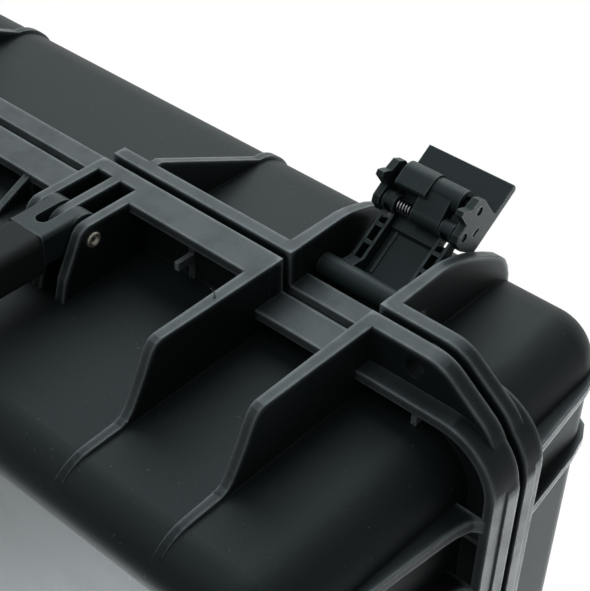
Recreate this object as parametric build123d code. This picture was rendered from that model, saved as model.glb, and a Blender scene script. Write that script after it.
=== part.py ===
from build123d import *

import os
from math import cos, hypot, pi, radians, sin, tan

# A moulded, waterproof carrying case for a table-top sampler, lying flat on its base.
# Millimetres. X runs along the front, Y goes from the front to the hinges, Z is up.
# The origin is the centre of the flat underside of the base.

# Driving sizes of the two shells
RIM_W = 420.0  # across the raised rims, side to side
RIM_D = 340.0  # across the raised rims, front to back
BASE_H = 89.0  # underside to the top of the base rim
LID_TOP = 159.0  # underside to the top of the lid
RIM_GAP = 3.2  # groove that shows between the two rims
WALL = 3.2  # moulded wall
FRONT_INSET = 21.0  # shell wall behind the front raised rim
SIDE_INSET = 12.0  # shell wall behind the side raised rim
WALL_R = 18.0  # upright corners of the shells
DRAFT = 1.6  # degrees, both shells
BASE_EDGE_R = 13.0  # rounding between walls and underside
LID_EDGE_R = 15.0  # rounding between walls and lid top

# Rims
RIM_T = 5.6  # raised flange of the base
LID_RIM_T = 4.7  # raised flange of the lid
BAND_INSET = 12.0  # low band behind the front raised rim
BAND_SIDE_INSET = 0.5  # the same band at the sides
BASE_BAND_H = 11.8
LID_BAND_H = 8.2
BAND_R = 20.0  # corners of the low band
SKIRT_T = 3.0  # skin of the band, with an open channel behind it
CHANNEL_ROOF = 5.0  # what is left above the channel
CORNER_CUT_X = 26.0  # the raised rim's corner is cut off, then rounded
CORNER_CUT_Y = 13.8
CORNER_SIDE_X = 8.5
CORNER_SIDE_Y = 30.0
CORNER_R = 14.0

# Ribs that stand on the walls
RIB_T = 4.4
RIB_END_T = 2.5  # ribs thin out away from the rim, so that they leave the mould
RIB_1_X = RIM_W / 2 - 88.5  # mid plane of the rib between handle and latch
RIB_2_X = RIM_W / 2 - 51.35  # mid plane of the rib between latch and corner
RIB_LOW = 1.4  # height of the rib on the lower wall
# Side views of the front ribs: (distance in from the raised rim, distance from the parting)
BASE_RIB_BEND = (
    (0.0, 48.0), (0.6, 49.8), (2.4, 51.4), (5.0, 52.8), (9.2, 54.6), (14.6, 57.4),
    (18.6, 59.6), (20.6, 61.4), (21.6, 63.6),
)
LID_RIB_BEND = (
    (0.0, 27.0), (0.5, 31.0), (1.7, 35.6), (3.6, 41.4), (6.0, 46.6), (9.2, 52.6),
    (12.6, 58.2), (15.6, 61.4), (19.4, 63.6), (23.0, 64.9), (27.0, 65.4),
)
SIDE_RIB_Y = (102.0, 130.0)  # mid planes of the low side ribs
SIDE_RIB = ((1.0, 11.0), (5.0, 13.6), (6.4, 18.0), (7.2, 23.0), (10.4, 52.0))
LID_SIDE_END = ((12.4, 61.0), (15.4, 66.6), (20.0, 69.4), (26.0, 70.0))
BASE_SIDE_END = (12.4, 66.0)
DIAGONAL_RISE = 34.0  # the slanting rib stays at full height this far above the parting
DIAGONAL_T = 3.2
DIAGONAL_FOOT_X = 61.7
DIAGONAL_HEAD_X = 85.6

# Padlock holes
LOCK_HOLE_R = 3.25
LOCK_HOLE_X = RIM_W / 2 - 34.0
LOCK_HOLE_INSET = 6.0

# Seal between the shells
TONGUE_T = 2.4
TONGUE_H = 4.6
TONGUE_INSET = 3.4  # outside the shell wall
GROOVE_PLAY = 0.5
GASKET_H = 2.2
SEAL_PLAY = 0.25

# Carrying handle
PIN_R = 2.0
HANDLE_PIN_INSET = 5.4
HANDLE_PIN_DROP = 26.5
EAR_T = 3.5
EAR_X = (50.55, 60.35, 70.55)  # mid planes
EAR_R = 5.4
HANDLE_IN = 53.0  # arms, from the middle of the case
HANDLE_OUT = 68.2
PRONG_R = 6.5
FORK_SLOT = 4.7
FORK_DEEP = 10.7
HANDLE_T = 11.0
HANDLE_FOOT = 7.5  # far edge of the hanging grip, above the underside
GRIP_H = 21.0
GRIP_T = 14.0
SEAM_DROP = 15.2  # pin to the seam where the soft grip starts
CORE_INSET = 2.4  # core under the soft grip
GRIP_CORNER_R = 20.0
ARM_ROUND = 1.6
GRIP_ROUND = 3.0

# Hinges at the back
HINGE_X = (RIB_1_X + RIB_2_X) / 2
HINGE_OUT = 3.5  # axis outside the raised rim
KNUCKLE_R = 5.5
KNUCKLES = 5
KNUCKLE_GAP = 0.4
HINGE_W = 31.6
TURN_PLAY = 0.05  # radial, where a bore turns on a pin
SEAT_PLAY = 0.01  # radial, where a bore is driven on a pin

WEB_X = RIB_1_X - 29.5  # web between the front lip and the wall
WEB_T = 1.8
WEB_PITCH = 30.0  # webs in the open channel

# Latches, drawn closed: u runs down from the pivot, n runs out of the front
LATCH_X = (RIB_1_X + RIB_2_X) / 2
LATCH_Y = 11.8  # pivot behind the raised rim
LATCH_Z = 18.0  # pivot above the parting
LATCH_OPEN = 145.8  # degrees that the latch stands open
LATCH_HALF = 15.9
BARREL_R = 3.75
ARM_IN = 8.4
ARM_OUT = 12.8
ARM_LEN = 30.6
SKIN_N = 12.0
SKIN_T = 2.2
SKIN_END = 22.0
ARM_FACE_N = 5.2
LEVER_PIN = (27.5, 3.8)
CATCH_PIN = (36.5, 2.6)
SMALL_PIN_R = 1.4
CATCH_TRAVEL = 1.1  # radial, lets the sprung catch rock on its stop pin
LUG_R = 3.0
LEVER_N = 12.4
LEVER_T = 2.4
LEVER_START = 26.6
LEVER_END = 51.3
CHEEK_T = 2.5
CLAW_U = 30.3
CLAW_N = -5.0
CATCH_R = 4.2
CATCH_PAD = 0.6  # the catch's left half stands this proud
SLEEVE_R = 3.0
SLEEVE_X = (-2.2, 8.0)
CATCH_HALF = 10.7
CELL_PITCH = 6.4
SPRING_WIRE = 0.55
SPRING_TURNS = 5
SPRING_X = (-8.2, -2.6)

# Pressure valve
VALVE_DROP = 24.8
VALVE_R = 12.6
VALVE_BORE_R = 6.0
VALVE_T = 5.8
VALVE_FLUTES = 28
BUTTRESS_X = 24.0
BUTTRESS_T = 2.6

# Foam inside
FOAM_PLAY = 0.6
FOAM_FLOOR_T = 15.0
FOAM_TRAY_TOP = 88.0
RECESS_W = 276.0  # hollow for the sampler
RECESS_D = 216.0
RECESS_R = 14.0
RECESS_X = -38.0  # its middle
CABLE_W = 58.0  # hollow for cables
CABLE_EDGE = 35.0  # its outer side, in from the side rim
FINGER_W = 52.0  # finger cut-outs at both ends of the sampler
FINGER_DEEP = 44.0
LID_FOAM_T = 30.0

FRONT = -RIM_D / 2
LID_FOOT = BASE_H + RIM_GAP
HALF_W = RIM_W / 2
HALF_D = RIM_D / 2
WALL_X = HALF_W - SIDE_INSET
WALL_Y = HALF_D - FRONT_INSET
BASE_AXIS_Y = FRONT + HANDLE_PIN_INSET
BASE_AXIS_Z = BASE_H - HANDLE_PIN_DROP
HANDLE_LEN = BASE_AXIS_Z - HANDLE_FOOT  # pin to the far edge of the grip
LATCH_PY = FRONT + LATCH_Y
LATCH_PZ = BASE_H + LATCH_Z
HINGE_Y = HALF_D + HINGE_OUT
HINGE_Z = BASE_H + RIM_GAP / 2


def slab(x0, x1, y0, y1, z0, z1):
    """A box between two corners."""
    size = (x1 - x0, y1 - y0, z1 - z0)
    return Pos((x0 + x1) / 2, (y0 + y1) / 2, (z0 + z1) / 2) * Box(*size)


def rod(radius, x0, x1, y, z):
    """A round bar along X."""
    return Pos((x0 + x1) / 2, y, z) * Rot(0, 90, 0) * Cylinder(radius, x1 - x0)


def plate_yz(points, x0, x1):
    """A flat plate square to X from an outline of (y, z) points."""
    face = make_face(Polyline(*[(y, z) for y, z in points], close=True).edges())
    return Pos(x0, 0, 0) * extrude(Plane.YZ * face, x1 - x0)


def tub(half_x, half_y, corner, edge_r, z_open, z_shut):
    """A drafted block, wide at z_open, with its far edges rounded."""
    down = z_shut < z_open
    plane = Plane(origin=(0, 0, z_open), x_dir=(1, 0, 0), z_dir=(0, 0, -1 if down else 1))
    outline = plane * RectangleRounded(2 * half_x, 2 * half_y, corner)
    body = extrude(outline, abs(z_shut - z_open), taper=DRAFT)
    end = body.faces().sort_by(Axis.Z)[0 if down else -1]
    return fillet(end.edges(), edge_r)


def rim_outline():
    """The raised rim's outline: each corner is cut off, then rounded into the side."""
    points = []
    for sx, sy in ((1, -1), (1, 1), (-1, 1), (-1, -1)):
        corner = [
            (sx * (HALF_W - CORNER_CUT_X), sy * HALF_D),
            (sx * (HALF_W - CORNER_SIDE_X), sy * (HALF_D - CORNER_CUT_Y)),
            (sx * HALF_W, sy * (HALF_D - CORNER_SIDE_Y)),
        ]
        points += corner if sx * sy < 0 else corner[::-1]
    face = make_face(Polyline(*points, close=True).edges())
    return fillet(face.vertices(), CORNER_R)


def band_outline(inset=0.0):
    """The low band's outline, taken in by inset."""
    size_x = 2 * (HALF_W - BAND_SIDE_INSET - inset)
    size_y = 2 * (HALF_D - BAND_INSET - inset)
    return RectangleRounded(size_x, size_y, BAND_R - inset)


def layer(face, z0, z1):
    """A flat face drawn at z0 and carried up to z1."""
    return extrude(Pos(0, 0, z0) * face, z1 - z0)


def wall_at(depth):
    """How far the drafted wall has moved in at this distance from the parting."""
    return depth * tan(radians(DRAFT))


def arc_points(cy, cz, radius, start, end, steps):
    """Points on an arc in the YZ plane, angles in degrees from +Y."""
    turn = (end - start) / steps
    return [
        (cy + radius * cos(radians(start + turn * i)), cz + radius * sin(radians(start + turn * i)))
        for i in range(steps + 1)
    ]


def below(points):
    """Points given from the parting down, as (distance in, height)."""
    return [(p, BASE_H - d) for p, d in points]


def above(points):
    """Points given from the parting up, as (distance in, height)."""
    return [(p, BASE_H + d) for p, d in points]


def base_foot(inset):
    """The low end of a base rib: round the bottom edge, flush with the underside."""
    edge_r = BASE_EDGE_R + RIB_LOW
    foot = inset + wall_at(BASE_H) + BASE_EDGE_R
    return arc_points(foot, edge_r, edge_r, 180, 270, 8)


def base_rib_outline():
    """Side view of a front base rib: full height below the rim, an S bend down to the wall, then
    a low rib round the bottom edge."""
    points = [(0.0, BASE_H)] + below(BASE_RIB_BEND) + base_foot(FRONT_INSET)
    deep = FRONT_INSET + 20.0
    return points + [(deep, 0.0), (deep, BASE_H)]


def lid_rib_outline():
    """Side view of a front lid rib: full height above the rim, then a curve over the lid's edge."""
    deep = FRONT_INSET + 16.0
    points = [(0.0, LID_FOOT)] + above(LID_RIB_BEND)
    return points + [(deep, points[-1][1]), (deep, LID_FOOT)]


def base_side_outline():
    """Side view of a low rib on the base's side wall."""
    deep = SIDE_INSET + 18.0
    points = below(SIDE_RIB) + below([BASE_SIDE_END]) + base_foot(SIDE_INSET)
    return points + [(deep, 0.0), (deep, points[0][1])]


def lid_side_outline():
    """Side view of a low rib on the lid's side wall."""
    deep = SIDE_INSET + 18.0
    points = above(SIDE_RIB) + above(LID_SIDE_END)
    return points + [(deep, LID_TOP), (deep, points[0][1])]


def rib_wedge(mid, lid):
    """The space of a rib square to X: thick at the rim, thinner towards its end."""
    rim, end = (LID_FOOT, LID_TOP) if lid else (BASE_H, 0.0)
    wide, slim = RIB_T / 2, RIB_END_T / 2
    outline = [(mid - wide, rim), (mid + wide, rim), (mid + slim, end), (mid - slim, end)]
    face = make_face(Polyline(*outline, close=True).edges())
    return extrude(Plane.XZ * face, HALF_W + 20, both=True)


def front_rib(outline, x_mid, lid):
    """A rib on the front wall."""
    points = [(FRONT + p, z) for p, z in outline]
    return plate_yz(points, x_mid - RIB_T, x_mid + RIB_T) & rib_wedge(x_mid, lid)


def side_rib(outline, y_mid, lid):
    """A rib on the right-hand wall."""
    points = [(-(HALF_W - p), z) for p, z in outline]
    rib = plate_yz(points, y_mid - RIB_T, y_mid + RIB_T) & rib_wedge(y_mid, lid)
    return Rot(0, 0, 90) * rib


def both_sides(shape):
    """The shape and its mirror image across the middle of the case."""
    return shape + mirror(shape, about=Plane.YZ)


def four_corners(shape):
    """The shape repeated on both sides, at the front and at the back."""
    pair = both_sides(shape)
    return pair + mirror(pair, about=Plane.XZ)


def shell_ribs(lid):
    """The ribs that a shell has beside its latch and hinge bays and on its side walls."""
    front = lid_rib_outline() if lid else base_rib_outline()
    side = lid_side_outline() if lid else base_side_outline()
    ribs = front_rib(front, RIB_1_X, lid) + front_rib(front, RIB_2_X, lid)
    for y in SIDE_RIB_Y:
        ribs += side_rib(side, -y, lid)
    return four_corners(ribs)


def bays(z0, z1):
    """The latch bays at the front and the hinge bays at the back, open between their ribs."""
    inner, outer = RIB_1_X + RIB_T / 2, RIB_2_X - RIB_T / 2
    return four_corners(slab(inner, outer, FRONT - 1, FRONT + BAND_INSET, z0, z1))


def lock_holes():
    """The padlock holes through both flanges, beside each latch."""
    hole = Pos(LOCK_HOLE_X, FRONT + LOCK_HOLE_INSET, BASE_H) * Cylinder(LOCK_HOLE_R, 40)
    return both_sides(hole)


def hinge_spans(lid):
    """X ranges of one hinge's knuckles for a shell, the base having the outer ones."""
    width = HINGE_W / KNUCKLES
    start = HINGE_X - HINGE_W / 2
    return [
        (start + i * width + KNUCKLE_GAP / 2, start + (i + 1) * width - KNUCKLE_GAP / 2)
        for i in range(KNUCKLES)
        if (i % 2 == 1) == lid
    ]


def hinge_knuckles(lid):
    """The knuckles of one shell and the arms that carry them from the band."""
    flat = HINGE_Z + (KNUCKLE_R if lid else -KNUCKLE_R)
    rim_z = LID_FOOT if lid else BASE_H
    out = []
    for x0, x1 in hinge_spans(lid):
        arm = slab(x0, x1, HALF_D - BAND_INSET - 1, HINGE_Y, min(rim_z, flat), max(rim_z, flat))
        out.append(arm + rod(KNUCKLE_R, x0, x1, HINGE_Y, HINGE_Z))
    return both_sides(Part() + out)


def hinge_notches(lid):
    """Room in one shell's rim for the other shell's knuckles."""
    reach = KNUCKLE_R + 0.5
    z0, z1 = (LID_FOOT - 1, LID_FOOT + 12) if lid else (BASE_H - 12, BASE_H + 1)
    out = [
        slab(x0 - KNUCKLE_GAP, x1 + KNUCKLE_GAP, HINGE_Y - reach, HINGE_Y + reach, z0, z1)
        for x0, x1 in hinge_spans(not lid)
    ]
    return both_sides(Part() + out)


def hinge_bores(play):
    """The bore of both hinges."""
    return both_sides(rod(PIN_R + play, HINGE_X - HINGE_W, HINGE_X + HINGE_W, HINGE_Y, HINGE_Z))


def seal_ring(inner_add, outer_add, z0, z1):
    """A ring that follows the shell wall, between two distances outside it."""
    outer = RectangleRounded(2 * (WALL_X + outer_add), 2 * (WALL_Y + outer_add), WALL_R + outer_add)
    inner = RectangleRounded(2 * (WALL_X + inner_add), 2 * (WALL_Y + inner_add), WALL_R + inner_add)
    return layer(outer - inner, z0, z1)


def ear_outline():
    """Side view of a handle ear, as (y, z) points round the pin."""
    top = BASE_H - 3.0
    nose = arc_points(BASE_AXIS_Y, BASE_AXIS_Z - 0.6, EAR_R, 180, 236, 5)
    wall = FRONT + FRONT_INSET + 3.0
    return [(FRONT, top)] + nose + [(FRONT + 15.0, BASE_H - 38.2), (wall, BASE_H - 40.5), (wall, top)]


def base_shell():
    """The deep half: tub, rim, ribs, channel, handle ears, hinge knuckles and valve seat."""
    body = tub(WALL_X, WALL_Y, WALL_R, BASE_EDGE_R, BASE_H, 0)
    cavity = tub(WALL_X - WALL, WALL_Y - WALL, WALL_R - WALL, BASE_EDGE_R - WALL, BASE_H + 0.001, WALL)
    low = BASE_H - BASE_BAND_H
    roof = BASE_H - CHANNEL_ROOF
    channel = layer(band_outline(SKIRT_T), low, roof) - body
    webs = []
    for i in range(-6, 7):
        x = i * WEB_PITCH
        webs.append(slab(x - WEB_T / 2, x + WEB_T / 2, -HALF_D, HALF_D, low + 2.2, roof))
    for i in range(-4, 5):
        y = i * WEB_PITCH
        webs.append(slab(-HALF_W, HALF_W, y - WEB_T / 2, y + WEB_T / 2, low + 2.2, roof))
    webs = (Part() + webs) & channel
    rim = layer(rim_outline(), BASE_H - RIM_T, BASE_H) - bays(0, 200)
    rim -= slab(-EAR_X[0] + EAR_T / 2, EAR_X[0] - EAR_T / 2, FRONT - 1, FRONT + BAND_INSET, 0, 200)
    lip = slab(EAR_X[2] - EAR_T / 2, RIB_1_X, FRONT, FRONT + WALL, low, BASE_H)
    ears = [plate_yz(ear_outline(), x - EAR_T / 2, x + EAR_T / 2) for x in EAR_X]
    brace = [(FRONT + BAND_INSET + 0.5, low + 1), (FRONT + 19, BASE_H - 24)]
    brace += [(FRONT + 24, BASE_H - 31), (FRONT + 24, low + 1)]
    buttress = plate_yz(
        brace,
        BUTTRESS_X - BUTTRESS_T / 2,
        BUTTRESS_X + BUTTRESS_T / 2,
    )
    shell = body + (layer(band_outline(), low, BASE_H) - channel) + webs + rim
    hollow_x = (EAR_X[2] + EAR_T / 2, RIB_1_X - RIB_T / 2)
    hollow = slab(*hollow_x, FRONT + WALL, FRONT + FRONT_INSET + 3, low - 1, BASE_H - LID_RIM_T)
    hollow = hollow - body - slab(WEB_X - WEB_T / 2, WEB_X + WEB_T / 2, -HALF_D, HALF_D, low, BASE_H)
    shell = shell - both_sides(hollow) + shell_ribs(False)
    shell += both_sides(lip + ears + buttress)
    shell += hinge_knuckles(False)
    seat_y = -WALL_Y + wall_at(VALVE_DROP)
    boss = Pos(0, seat_y + 1.0, BASE_H - VALVE_DROP) * Rot(90, 0, 0) * Cylinder(VALVE_R - 1.5, 4.0)
    shell += boss
    shell += seal_ring(TONGUE_INSET, TONGUE_INSET + TONGUE_T, BASE_H - 1, BASE_H + TONGUE_H)
    shell -= cavity
    shell -= hinge_notches(False)
    shell -= hinge_bores(SEAT_PLAY)
    shell -= lock_holes()
    pin_span = rod(PIN_R + SEAT_PLAY, EAR_X[0] - 6, EAR_X[2] + 6, BASE_AXIS_Y, BASE_AXIS_Z)
    shell -= both_sides(pin_span)
    shell -= Pos(0, -WALL_Y, BASE_H - VALVE_DROP) * Rot(90, 0, 0) * Cylinder(VALVE_BORE_R + TURN_PLAY, 30)
    return shell


def diagonal_rib():
    """The slanting rib from the raised rim up over the lid's edge, right of the handle."""
    z0, z1 = LID_FOOT + LID_RIM_T - 1, BASE_H + DIAGONAL_RISE
    slope = (DIAGONAL_HEAD_X - DIAGONAL_FOOT_X) / (z1 - z0)
    half = DIAGONAL_T / 2 * hypot(1, slope)
    top = z1 + 16.0
    far = DIAGONAL_FOOT_X + slope * (top - z0)
    outline = [(DIAGONAL_FOOT_X - half, z0), (DIAGONAL_FOOT_X + half, z0)]
    outline += [(far + half, top), (far - half, top)]
    face = make_face(Polyline(*outline, close=True).edges())
    blade = Pos(0, FRONT, 0) * extrude(Plane.XZ * face, -(FRONT_INSET + 5))
    nose = [(FRONT - 1, z1 + 1), (FRONT - 1, top + 1), (FRONT + FRONT_INSET + 1, top + 1)]
    nose += [(FRONT + 4.5, z1 + 5.5), (FRONT + 1, z1 + 2)]
    return blade - plate_yz(nose, 0, HALF_W)


def lid_shell():
    """The shallow half: dome, rim, ribs, latch bearings, hinge knuckles and gasket groove."""
    body = tub(WALL_X, WALL_Y, WALL_R, LID_EDGE_R, LID_FOOT, LID_TOP)
    inside = (WALL_X - WALL, WALL_Y - WALL, WALL_R - WALL, LID_EDGE_R - WALL)
    cavity = tub(*inside, LID_FOOT - 0.001, LID_TOP - WALL)
    rim = layer(rim_outline(), LID_FOOT, LID_FOOT + LID_RIM_T) - bays(0, 200)
    rim -= slab(-EAR_X[0] + 1, EAR_X[0] - 1, FRONT - 1, FRONT + BAND_INSET, 0, 200)
    shell = body + layer(band_outline(), LID_FOOT, LID_FOOT + LID_BAND_H) + rim
    shell += shell_ribs(True)
    shell += both_sides(diagonal_rib())
    shell += hinge_knuckles(True)
    shell -= cavity
    groove = seal_ring(
        TONGUE_INSET - GROOVE_PLAY,
        TONGUE_INSET + TONGUE_T + GROOVE_PLAY,
        LID_FOOT - 1,
        BASE_H + TONGUE_H + SEAL_PLAY + GASKET_H,
    )
    shell -= groove
    shell -= hinge_notches(True)
    shell -= hinge_bores(TURN_PLAY)
    shell -= lock_holes()
    latch_bore = rod(PIN_R + SEAT_PLAY, RIB_1_X - 5, RIB_2_X + 5, LATCH_PY, LATCH_PZ)
    return shell - both_sides(latch_bore)


def gasket():
    """The rubber seal in the roof of the lid's groove."""
    z0 = BASE_H + TONGUE_H + SEAL_PLAY
    return seal_ring(TONGUE_INSET - GROOVE_PLAY, TONGUE_INSET + TONGUE_T + GROOVE_PLAY, z0, z0 + GASKET_H)


def hinge_pin():
    """One steel hinge pin, on the right."""
    return rod(PIN_R, HINGE_X - HINGE_W / 2, HINGE_X + HINGE_W / 2, HINGE_Y, HINGE_Z)


def base_foam_floor():
    """The foam pad on the floor of the base."""
    cavity = tub(
        WALL_X - WALL - FOAM_PLAY,
        WALL_Y - WALL - FOAM_PLAY,
        WALL_R - WALL - FOAM_PLAY,
        BASE_EDGE_R - WALL,
        BASE_H,
        WALL + 0.3,
    )
    return cavity & slab(-HALF_W, HALF_W, -HALF_D, HALF_D, 0, WALL + FOAM_FLOOR_T)


def base_foam_tray():
    """The foam tray with the sampler's hollow, a cable hollow beside it and finger cut-outs."""
    z0 = WALL + FOAM_FLOOR_T + 0.3
    body = tub(
        WALL_X - WALL - FOAM_PLAY,
        WALL_Y - WALL - FOAM_PLAY,
        WALL_R - WALL - FOAM_PLAY,
        BASE_EDGE_R - WALL,
        BASE_H,
        WALL + 0.3,
    ) & slab(-HALF_W, HALF_W, -HALF_D, HALF_D, z0, FOAM_TRAY_TOP)
    cable_x = HALF_W - CABLE_EDGE - CABLE_W / 2
    fingers = SlotOverall(RECESS_D + 44.0, FINGER_W, rotation=90)
    body -= Pos(RECESS_X, 0, 0) * layer(RectangleRounded(RECESS_W, RECESS_D, RECESS_R), z0 - 1, 200)
    body -= Pos(cable_x, 0, 0) * layer(RectangleRounded(CABLE_W, RECESS_D, RECESS_R), z0 + 12, 200)
    body -= Pos(RECESS_X, 0, 0) * layer(fingers, BASE_H - FINGER_DEEP, 200)
    return body - slab(-12.0, 12.0, -WALL_Y, -WALL_Y + 13.5, BASE_H - VALVE_DROP - 12.0, 200)


def lid_foam():
    """The foam pad in the roof of the lid."""
    roof = tub(
        WALL_X - WALL - FOAM_PLAY,
        WALL_Y - WALL - FOAM_PLAY,
        WALL_R - WALL - FOAM_PLAY,
        LID_EDGE_R - WALL,
        LID_FOOT,
        LID_TOP - WALL - 0.3,
    )
    return roof & slab(-HALF_W, HALF_W, -HALF_D, HALF_D, LID_TOP - WALL - LID_FOAM_T, LID_TOP)


def handle_outline(inset):
    """Front view of the handle's hoop, hanging: two arms and a bar, taken in by inset."""
    top = BASE_AXIS_Z
    bottom = top - HANDLE_LEN
    outer = Pos(0, (top + bottom) / 2) * Rectangle(2 * (HANDLE_OUT - inset), HANDLE_LEN - 2 * inset)
    outer = fillet(outer.vertices().group_by(Axis.Y)[0], GRIP_CORNER_R - inset)
    inside_top = top + 20
    inside_low = bottom + GRIP_H - inset
    inner = Rectangle(2 * (HANDLE_IN + inset), inside_top - inside_low)
    inner = Pos(0, (inside_top + inside_low) / 2) * inner
    inner = fillet(inner.vertices().group_by(Axis.Y)[0], GRIP_CORNER_R - 9.0)
    return outer - inner


def handle_hoop(inset, thick, z_top, round_r):
    """The hoop as a solid, cut off level at z_top, with rounded long edges."""
    y0 = BASE_AXIS_Y - PRONG_R + inset
    face = Plane(origin=(0, y0, 0), x_dir=(1, 0, 0), z_dir=(0, -1, 0)) * handle_outline(inset)
    hoop = extrude(face, -(thick - 2 * inset))
    z_low = BASE_AXIS_Z - HANDLE_LEN - 1
    hoop = hoop & slab(-HALF_W, HALF_W, y0 - 1, y0 + 40, z_low, z_top)
    ends = hoop.faces().filter_by(Axis.Y)
    long_edges = [e for f in ends for e in f.edges() if e.center().Z < z_top - 0.01]
    return fillet(ShapeList(long_edges), round_r)


def handle_core():
    """The hard part of the handle: forked arms above the seam and the core under the grip."""
    seam = BASE_AXIS_Z - SEAM_DROP
    core = handle_hoop(CORE_INSET, GRIP_T, seam, ARM_ROUND)
    mid = (HANDLE_IN + HANDLE_OUT) / 2
    y0 = BASE_AXIS_Y - PRONG_R
    arm = slab(HANDLE_IN, HANDLE_OUT, y0, y0 + HANDLE_T, seam, BASE_AXIS_Z)
    arm = fillet(arm.edges().filter_by(Axis.Z), ARM_ROUND)
    head = rod(PRONG_R, HANDLE_IN, HANDLE_OUT, BASE_AXIS_Y, BASE_AXIS_Z)
    slot_half = FORK_SLOT / 2
    slot_z = BASE_AXIS_Z - FORK_DEEP + slot_half
    slot = slab(mid - slot_half, mid + slot_half, y0 - 5, y0 + 30, slot_z, BASE_AXIS_Z + 20)
    slot += Pos(mid, y0 + 10, slot_z) * Rot(90, 0, 0) * Cylinder(slot_half, 30)
    arm = arm + head - slot
    arm -= rod(PIN_R + TURN_PLAY, HANDLE_IN - 1, HANDLE_OUT + 1, BASE_AXIS_Y, BASE_AXIS_Z)
    return core + both_sides(arm)


def handle_grip(core):
    """The soft grip moulded over the core, from the seams down."""
    seam = BASE_AXIS_Z - SEAM_DROP
    return handle_hoop(0, GRIP_T, seam, GRIP_ROUND) - core


def handle_pins():
    """The two steel handle pins, flush with the outer ears."""
    return both_sides(rod(PIN_R, EAR_X[0] - EAR_T / 2, EAR_X[2] + EAR_T / 2, BASE_AXIS_Y, BASE_AXIS_Z))


def place(points):
    """Latch outline points (u, n) to (y, z) with the latch closed."""
    return [(LATCH_PY - n, LATCH_PZ - u) for u, n in points]


def latch_plate(points, x0, x1):
    """A latch plate square to the pin, on the right-hand latch."""
    return plate_yz(place(points), LATCH_X + x0, LATCH_X + x1)


def latch_rod(radius, x0, x1, u, n):
    """A round bar of the right-hand latch, at (u, n)."""
    return rod(radius, LATCH_X + x0, LATCH_X + x1, LATCH_PY - n, LATCH_PZ - u)


def mirrored_plate(points, x0, x1):
    """A latch plate and its twin on the other side of the latch."""
    return latch_plate(points, x0, x1) + latch_plate(points, -x1, -x0)


def opened(shape):
    """A closed latch piece, swung up to where it stands open."""
    turn = Pos(0, LATCH_PY, LATCH_PZ) * Rot(-LATCH_OPEN, 0, 0) * Pos(0, -LATCH_PY, -LATCH_PZ)
    return turn * shape


def latch_frame():
    """The swinging frame: barrel, skin, ladder arms and the lugs that carry the lever."""
    inner = SKIN_N - SKIN_T
    half = LATCH_HALF
    frame = latch_rod(BARREL_R, -half, half, 0, 0)
    skin = [(-2.9, 2.2), (1.0, 9.4), (4.6, SKIN_N), (SKIN_END, SKIN_N)]
    skin += [(SKIN_END, inner), (5.4, inner), (2.8, 8.0), (2.4, 2.2)]
    frame += latch_plate(skin, -half, half)
    arm = [(1.0, 3.0), (4.6, inner + 0.5), (SKIN_END, inner + 0.5), (SKIN_END + 2, inner - 0.6)]
    arm += [(ARM_LEN, inner - 0.6), (ARM_LEN, ARM_FACE_N), (8.0, ARM_FACE_N), (3.2, 1.0)]
    frame += mirrored_plate(arm, ARM_IN, ARM_OUT)
    pin_u, pin_n = LEVER_PIN
    lug = [(pin_u - LUG_R, pin_n), (pin_u + LUG_R, pin_n)]
    lug += [(pin_u + LUG_R, ARM_FACE_N + 1), (pin_u - LUG_R, ARM_FACE_N + 1)]
    for side in (-1, 1):
        x0, x1 = sorted((side * ARM_IN, side * ARM_OUT))
        frame += latch_plate(lug, x0, x1) + latch_rod(LUG_R, x0, x1, pin_u, pin_n)
    apron = [(SKIN_END - 1.5, inner + 0.6), (SKIN_END - 0.5, 8.0), (ARM_LEN, 8.0)]
    apron += [(ARM_LEN, inner - 0.6), (SKIN_END, inner - 0.6)]
    frame += latch_plate(apron, -ARM_OUT + 0.5, ARM_OUT - 0.5)
    cell = CELL_PITCH - 1.3
    for i in range(3):
        u0 = 7.6 + i * CELL_PITCH
        pocket = [(u0, 0), (u0 + cell, 0), (u0 + cell, inner - 0.4), (u0, inner - 0.4)]
        frame -= mirrored_plate(pocket, ARM_IN + 0.9, ARM_OUT - 0.9)
    stripe = [(6.5, inner + 0.4), (SKIN_END - 1, inner + 0.4)]
    stripe += [(SKIN_END - 1, inner - 0.6), (6.5, inner - 0.6)]
    frame += latch_plate(stripe, -ARM_IN + 1.6, -ARM_IN + 2.6)
    frame -= latch_rod(PIN_R + TURN_PLAY, -half - 1, half + 1, 0, 0)
    return frame - latch_rod(SMALL_PIN_R + SEAT_PLAY, -half - 1, half + 1, pin_u, pin_n)


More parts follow.
